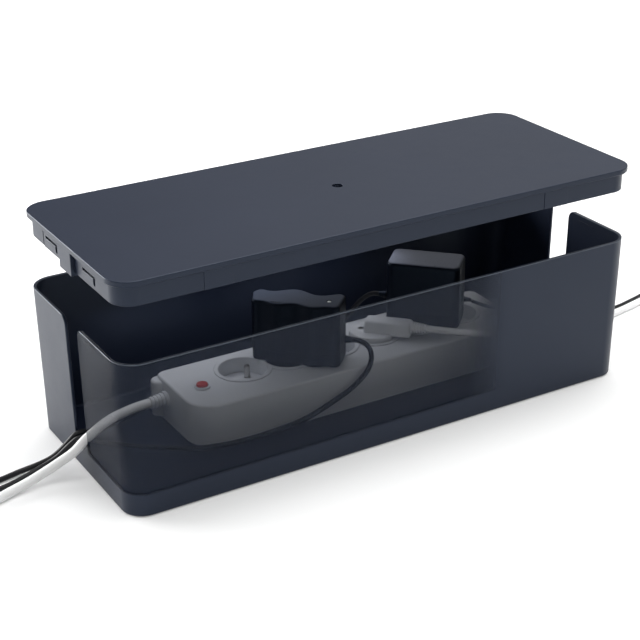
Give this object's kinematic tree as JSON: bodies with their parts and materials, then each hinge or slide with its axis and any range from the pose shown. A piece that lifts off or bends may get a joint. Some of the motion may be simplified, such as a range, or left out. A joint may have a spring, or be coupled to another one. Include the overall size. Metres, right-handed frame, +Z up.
{
  "type": "cable management box",
  "caption": "Long box with a cord slot in each end and a drop-in lid, hiding a power strip with its adapters, plug and leads.",
  "frame": {"origin": "centre of the box's footprint, on the surface that the feet stand on", "axes": "+X along the box towards the right slot, +Y away from the viewer, +Z up"},
  "size_m": [0.8636, 0.2261, 0.1755],
  "materials": {
    "box_plastic": "satin dark navy-black moulded plastic",
    "foot_rubber": "matt black rubber",
    "strip_plastic": "white semi-gloss plastic",
    "adapter_plastic": "fine-grained black plastic",
    "button_red": "red translucent plastic",
    "cord_white": "white flexible PVC",
    "cord_black": "black flexible PVC",
    "wire_insulation": "insulated wires",
    "contact_brass": "stamped brass",
    "pin_nickel": "nickel-plated brass",
    "steel": "zinc-plated steel",
    "circuit_board": "green laminate",
    "transformer_tape": "yellow winding tape",
    "lens": "clear light lens"
  },
  "bodies": {
    "root": {"box_body": "box_plastic", "rubber_feet": "foot_rubber", "strip_cover": "strip_plastic", "strip_base": "strip_plastic", "strip_screws": "steel", "button_collar": "strip_plastic", "button_spring": "steel", "breaker": "adapter_plastic", "cord_gland": "cord_white", "mains_tail": "cord_white", "cord_clamp": "strip_plastic", "clamp_screws": "steel", "inner_wires": "wire_insulation", "live_bar": "contact_brass", "neutral_bar": "contact_brass", "earth_bar": "contact_brass", "earth_pins": "pin_nickel", "socket_insert_1": "strip_plastic", "socket_insert_2": "strip_plastic", "socket_insert_3": "strip_plastic", "socket_insert_4": "strip_plastic", "socket_insert_5": "strip_plastic", "socket_insert_6": "strip_plastic", "adapter_1_case": "adapter_plastic", "adapter_1_base": "adapter_plastic", "adapter_1_pins": "pin_nickel", "adapter_1_board": "circuit_board", "adapter_1_transformer": "transformer_tape", "adapter_1_lens": "lens", "adapter_1_relief": "cord_black", "adapter_2_case": "adapter_plastic", "adapter_2_base": "adapter_plastic", "adapter_2_pins": "pin_nickel", "adapter_2_board": "circuit_board", "adapter_2_transformer": "transformer_tape", "adapter_2_relief_left": "cord_black", "adapter_2_relief_right": "cord_black", "flat_plug_body": "cord_white", "flat_plug_pins": "pin_nickel", "flat_plug_relief": "cord_white", "mains_cord": "cord_white", "mains_coil": "cord_white", "mains_plug": "cord_white", "mains_plug_pins": "pin_nickel", "lead_1_cord": "cord_black", "lead_1_coil": "cord_black", "lead_1_connector": "cord_black", "lead_2_cord": "cord_black", "lead_2_coil": "cord_black", "lead_2_connector": "cord_black", "appliance_cord": "cord_white", "appliance_coil": "cord_white", "appliance_connector": "cord_white", "thin_cord": "cord_black", "thin_coil": "cord_black", "thin_connector": "cord_black"},
    "lid": {"lid": "box_plastic"},
    "button": {"reset_button": "button_red"}
  },
  "joints": [
    {"name": "lid_lift", "type": "slide", "parent": "root", "child": "lid", "axis": [0, 0, 1], "range_m": [-0.0541, 0.04]},
    {"name": "button_press", "type": "slide", "parent": "root", "child": "button", "axis": [0, 0, -1], "range_m": [0, 0.002], "stiffness_N_per_m": 400, "springref_m": -0.001, "deforming": ["button_spring"]}
  ]
}
